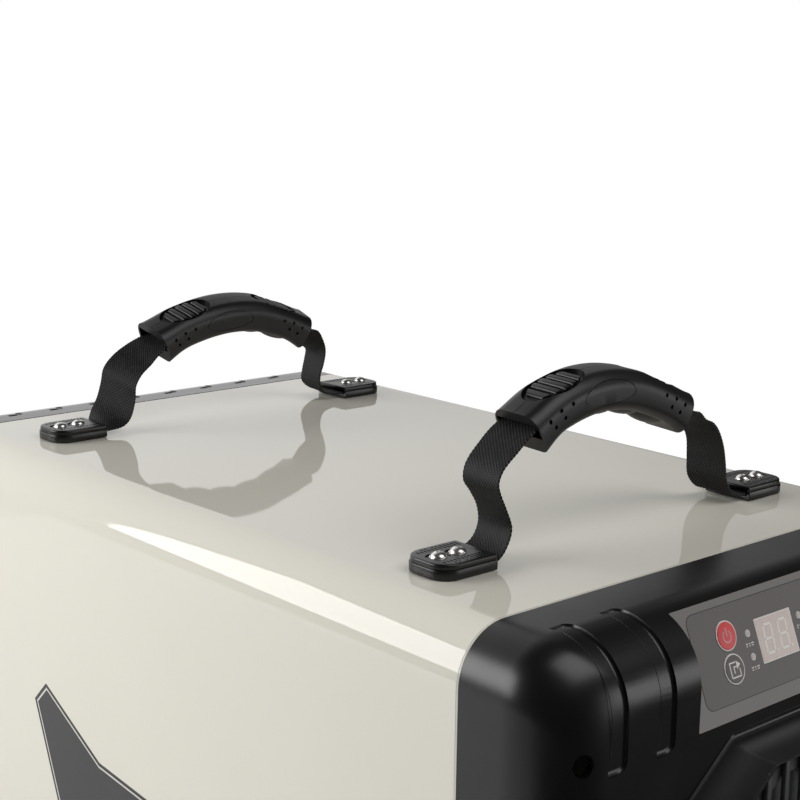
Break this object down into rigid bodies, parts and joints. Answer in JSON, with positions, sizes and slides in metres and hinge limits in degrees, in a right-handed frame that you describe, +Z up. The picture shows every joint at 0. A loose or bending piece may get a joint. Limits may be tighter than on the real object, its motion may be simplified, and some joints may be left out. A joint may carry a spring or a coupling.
{
  "type": "dehumidifier",
  "caption": "Portable basement dehumidifier: painted steel sleeve between moulded caps, webbing carrying handles on top, sloping control panel and slatted air intake in front.",
  "frame": {"origin": "middle of the footprint's box on the floor, under the feet", "axes": "+Z up; the front, with the control panel and the intake, faces -Y; +X is the right hand of a person who faces the front"},
  "size_m": [0.38, 0.678, 0.5235],
  "materials": {
    "ivory_paint": "gloss powder coat",
    "galvanised_sheet": "satin",
    "black_abs": "satin moulded, finely textured",
    "black_rubber": "matt",
    "black_webbing": "coarse plain weave",
    "chrome_screw": "polished",
    "panel_grey": "printed film",
    "display_window": "gloss",
    "button_red": "printed film",
    "key_grey": "printed film",
    "led_lens": "diffusing",
    "circuit_board": "solder mask",
    "fin_aluminium": "bare fins",
    "copper_pipe": "bare copper",
    "black_steel": "black enamel",
    "filter_mesh": "open mesh",
    "white_nylon": "natural",
    "grey_plastic": "satin"
  },
  "bodies": {
    "case": {"case_sleeve": "ivory_paint", "base_pan": "galvanised_sheet", "front_cap": "black_abs", "rear_cap": "black_abs", "outlet_grille": "black_abs", "control_plate": "panel_grey", "display_window": "display_window", "power_lamp": "led_lens", "pump_lamp": "led_lens", "defrost_lamp": "led_lens", "drain_fitting": "black_abs", "power_inlet": "black_abs", "evaporator_coil": "fin_aluminium", "condenser_coil": "fin_aluminium", "drain_pan": "white_nylon", "compressor": "black_steel", "compressor_mount": "galvanised_sheet", "discharge_pipe": "copper_pipe", "suction_pipe": "copper_pipe", "filter_drier": "copper_pipe", "capillary_tube": "copper_pipe", "fan_shroud": "grey_plastic", "fan_motor": "black_steel", "fan_motor_bracket": "galvanised_sheet", "pump_tank": "white_nylon", "condensate_pump": "black_abs", "drain_hose": "grey_plastic", "control_box": "galvanised_sheet", "run_capacitor": "grey_plastic", "humidity_sensor": "white_nylon", "display_board": "circuit_board", "front_bracket_left": "black_abs", "front_bracket_right": "black_abs", "front_bracket_screw_left_inner": "chrome_screw", "front_bracket_screw_left_outer": "chrome_screw", "front_bracket_screw_right_inner": "chrome_screw", "front_bracket_screw_right_outer": "chrome_screw", "front_strap": "black_webbing", "rear_bracket_left": "black_abs", "rear_bracket_right": "black_abs", "rear_bracket_screw_left_inner": "chrome_screw", "rear_bracket_screw_left_outer": "chrome_screw", "rear_bracket_screw_right_inner": "chrome_screw", "rear_bracket_screw_right_outer": "chrome_screw", "rear_strap": "black_webbing"},
    "front_handle": {"front_grip": "black_abs"},
    "rear_handle": {"rear_grip": "black_abs"},
    "intake": {"intake_grille": "black_abs", "filter_frame": "grey_plastic", "filter_media": "filter_mesh"},
    "fan": {"fan_impeller": "black_abs"},
    "float": {"pump_float": "white_nylon"},
    "power_button": {"power_button": "button_red"},
    "pump_button": {"pump_button": "key_grey"},
    "humidity_up_button": {"humidity_up_button": "key_grey"},
    "humidity_down_button": {"humidity_down_button": "key_grey"},
    "levelling_foot_front_left": {"levelling_foot_front_left": "black_rubber"},
    "levelling_foot_front_right": {"levelling_foot_front_right": "black_rubber"},
    "levelling_foot_rear_left": {"levelling_foot_rear_left": "black_rubber"},
    "levelling_foot_rear_right": {"levelling_foot_rear_right": "black_rubber"}
  },
  "joints": [
    {"name": "front_handle_swing", "type": "hinge", "parent": "case", "child": "front_handle", "pos_m": [0, -0.202, 0.4295], "axis": [1, 0, 0], "range_deg": [-60, 60], "deforming": ["front_strap"]},
    {"name": "rear_handle_swing", "type": "hinge", "parent": "case", "child": "rear_handle", "pos_m": [0, 0.19, 0.4295], "axis": [1, 0, 0], "range_deg": [-60, 60], "deforming": ["rear_strap"]},
    {"name": "intake_pull", "type": "slide", "parent": "case", "child": "intake", "axis": [0, -1, 0], "range_m": [0, 0.08]},
    {"name": "fan_spin", "type": "hinge", "parent": "case", "child": "fan", "pos_m": [0, 0.201, 0.2125], "axis": [0, 1, 0], "continuous": true},
    {"name": "float_lift", "type": "slide", "parent": "case", "child": "float", "axis": [0, 0, 1], "range_m": [0, 0.02]},
    {"name": "power_press", "type": "slide", "parent": "case", "child": "power_button", "axis": [0, 0.9286, -0.3711], "range_m": [0, 0.0005], "stiffness_N_per_m": 900},
    {"name": "pump_press", "type": "slide", "parent": "case", "child": "pump_button", "axis": [0, 0.9286, -0.3711], "range_m": [0, 0.0005], "stiffness_N_per_m": 900},
    {"name": "humidity_up_press", "type": "slide", "parent": "case", "child": "humidity_up_button", "axis": [0, 0.9286, -0.3711], "range_m": [0, 0.0005], "stiffness_N_per_m": 900},
    {"name": "humidity_down_press", "type": "slide", "parent": "case", "child": "humidity_down_button", "axis": [0, 0.9286, -0.3711], "range_m": [0, 0.0005], "stiffness_N_per_m": 900},
    {"name": "levelling_foot_front_left_screw", "type": "slide", "parent": "case", "child": "levelling_foot_front_left", "axis": [0, 0, -1], "range_m": [0, 0.012]},
    {"name": "levelling_foot_front_right_screw", "type": "slide", "parent": "case", "child": "levelling_foot_front_right", "axis": [0, 0, -1], "range_m": [0, 0.012]},
    {"name": "levelling_foot_rear_left_screw", "type": "slide", "parent": "case", "child": "levelling_foot_rear_left", "axis": [0, 0, -1], "range_m": [0, 0.012]},
    {"name": "levelling_foot_rear_right_screw", "type": "slide", "parent": "case", "child": "levelling_foot_rear_right", "axis": [0, 0, -1], "range_m": [0, 0.012]}
  ]
}
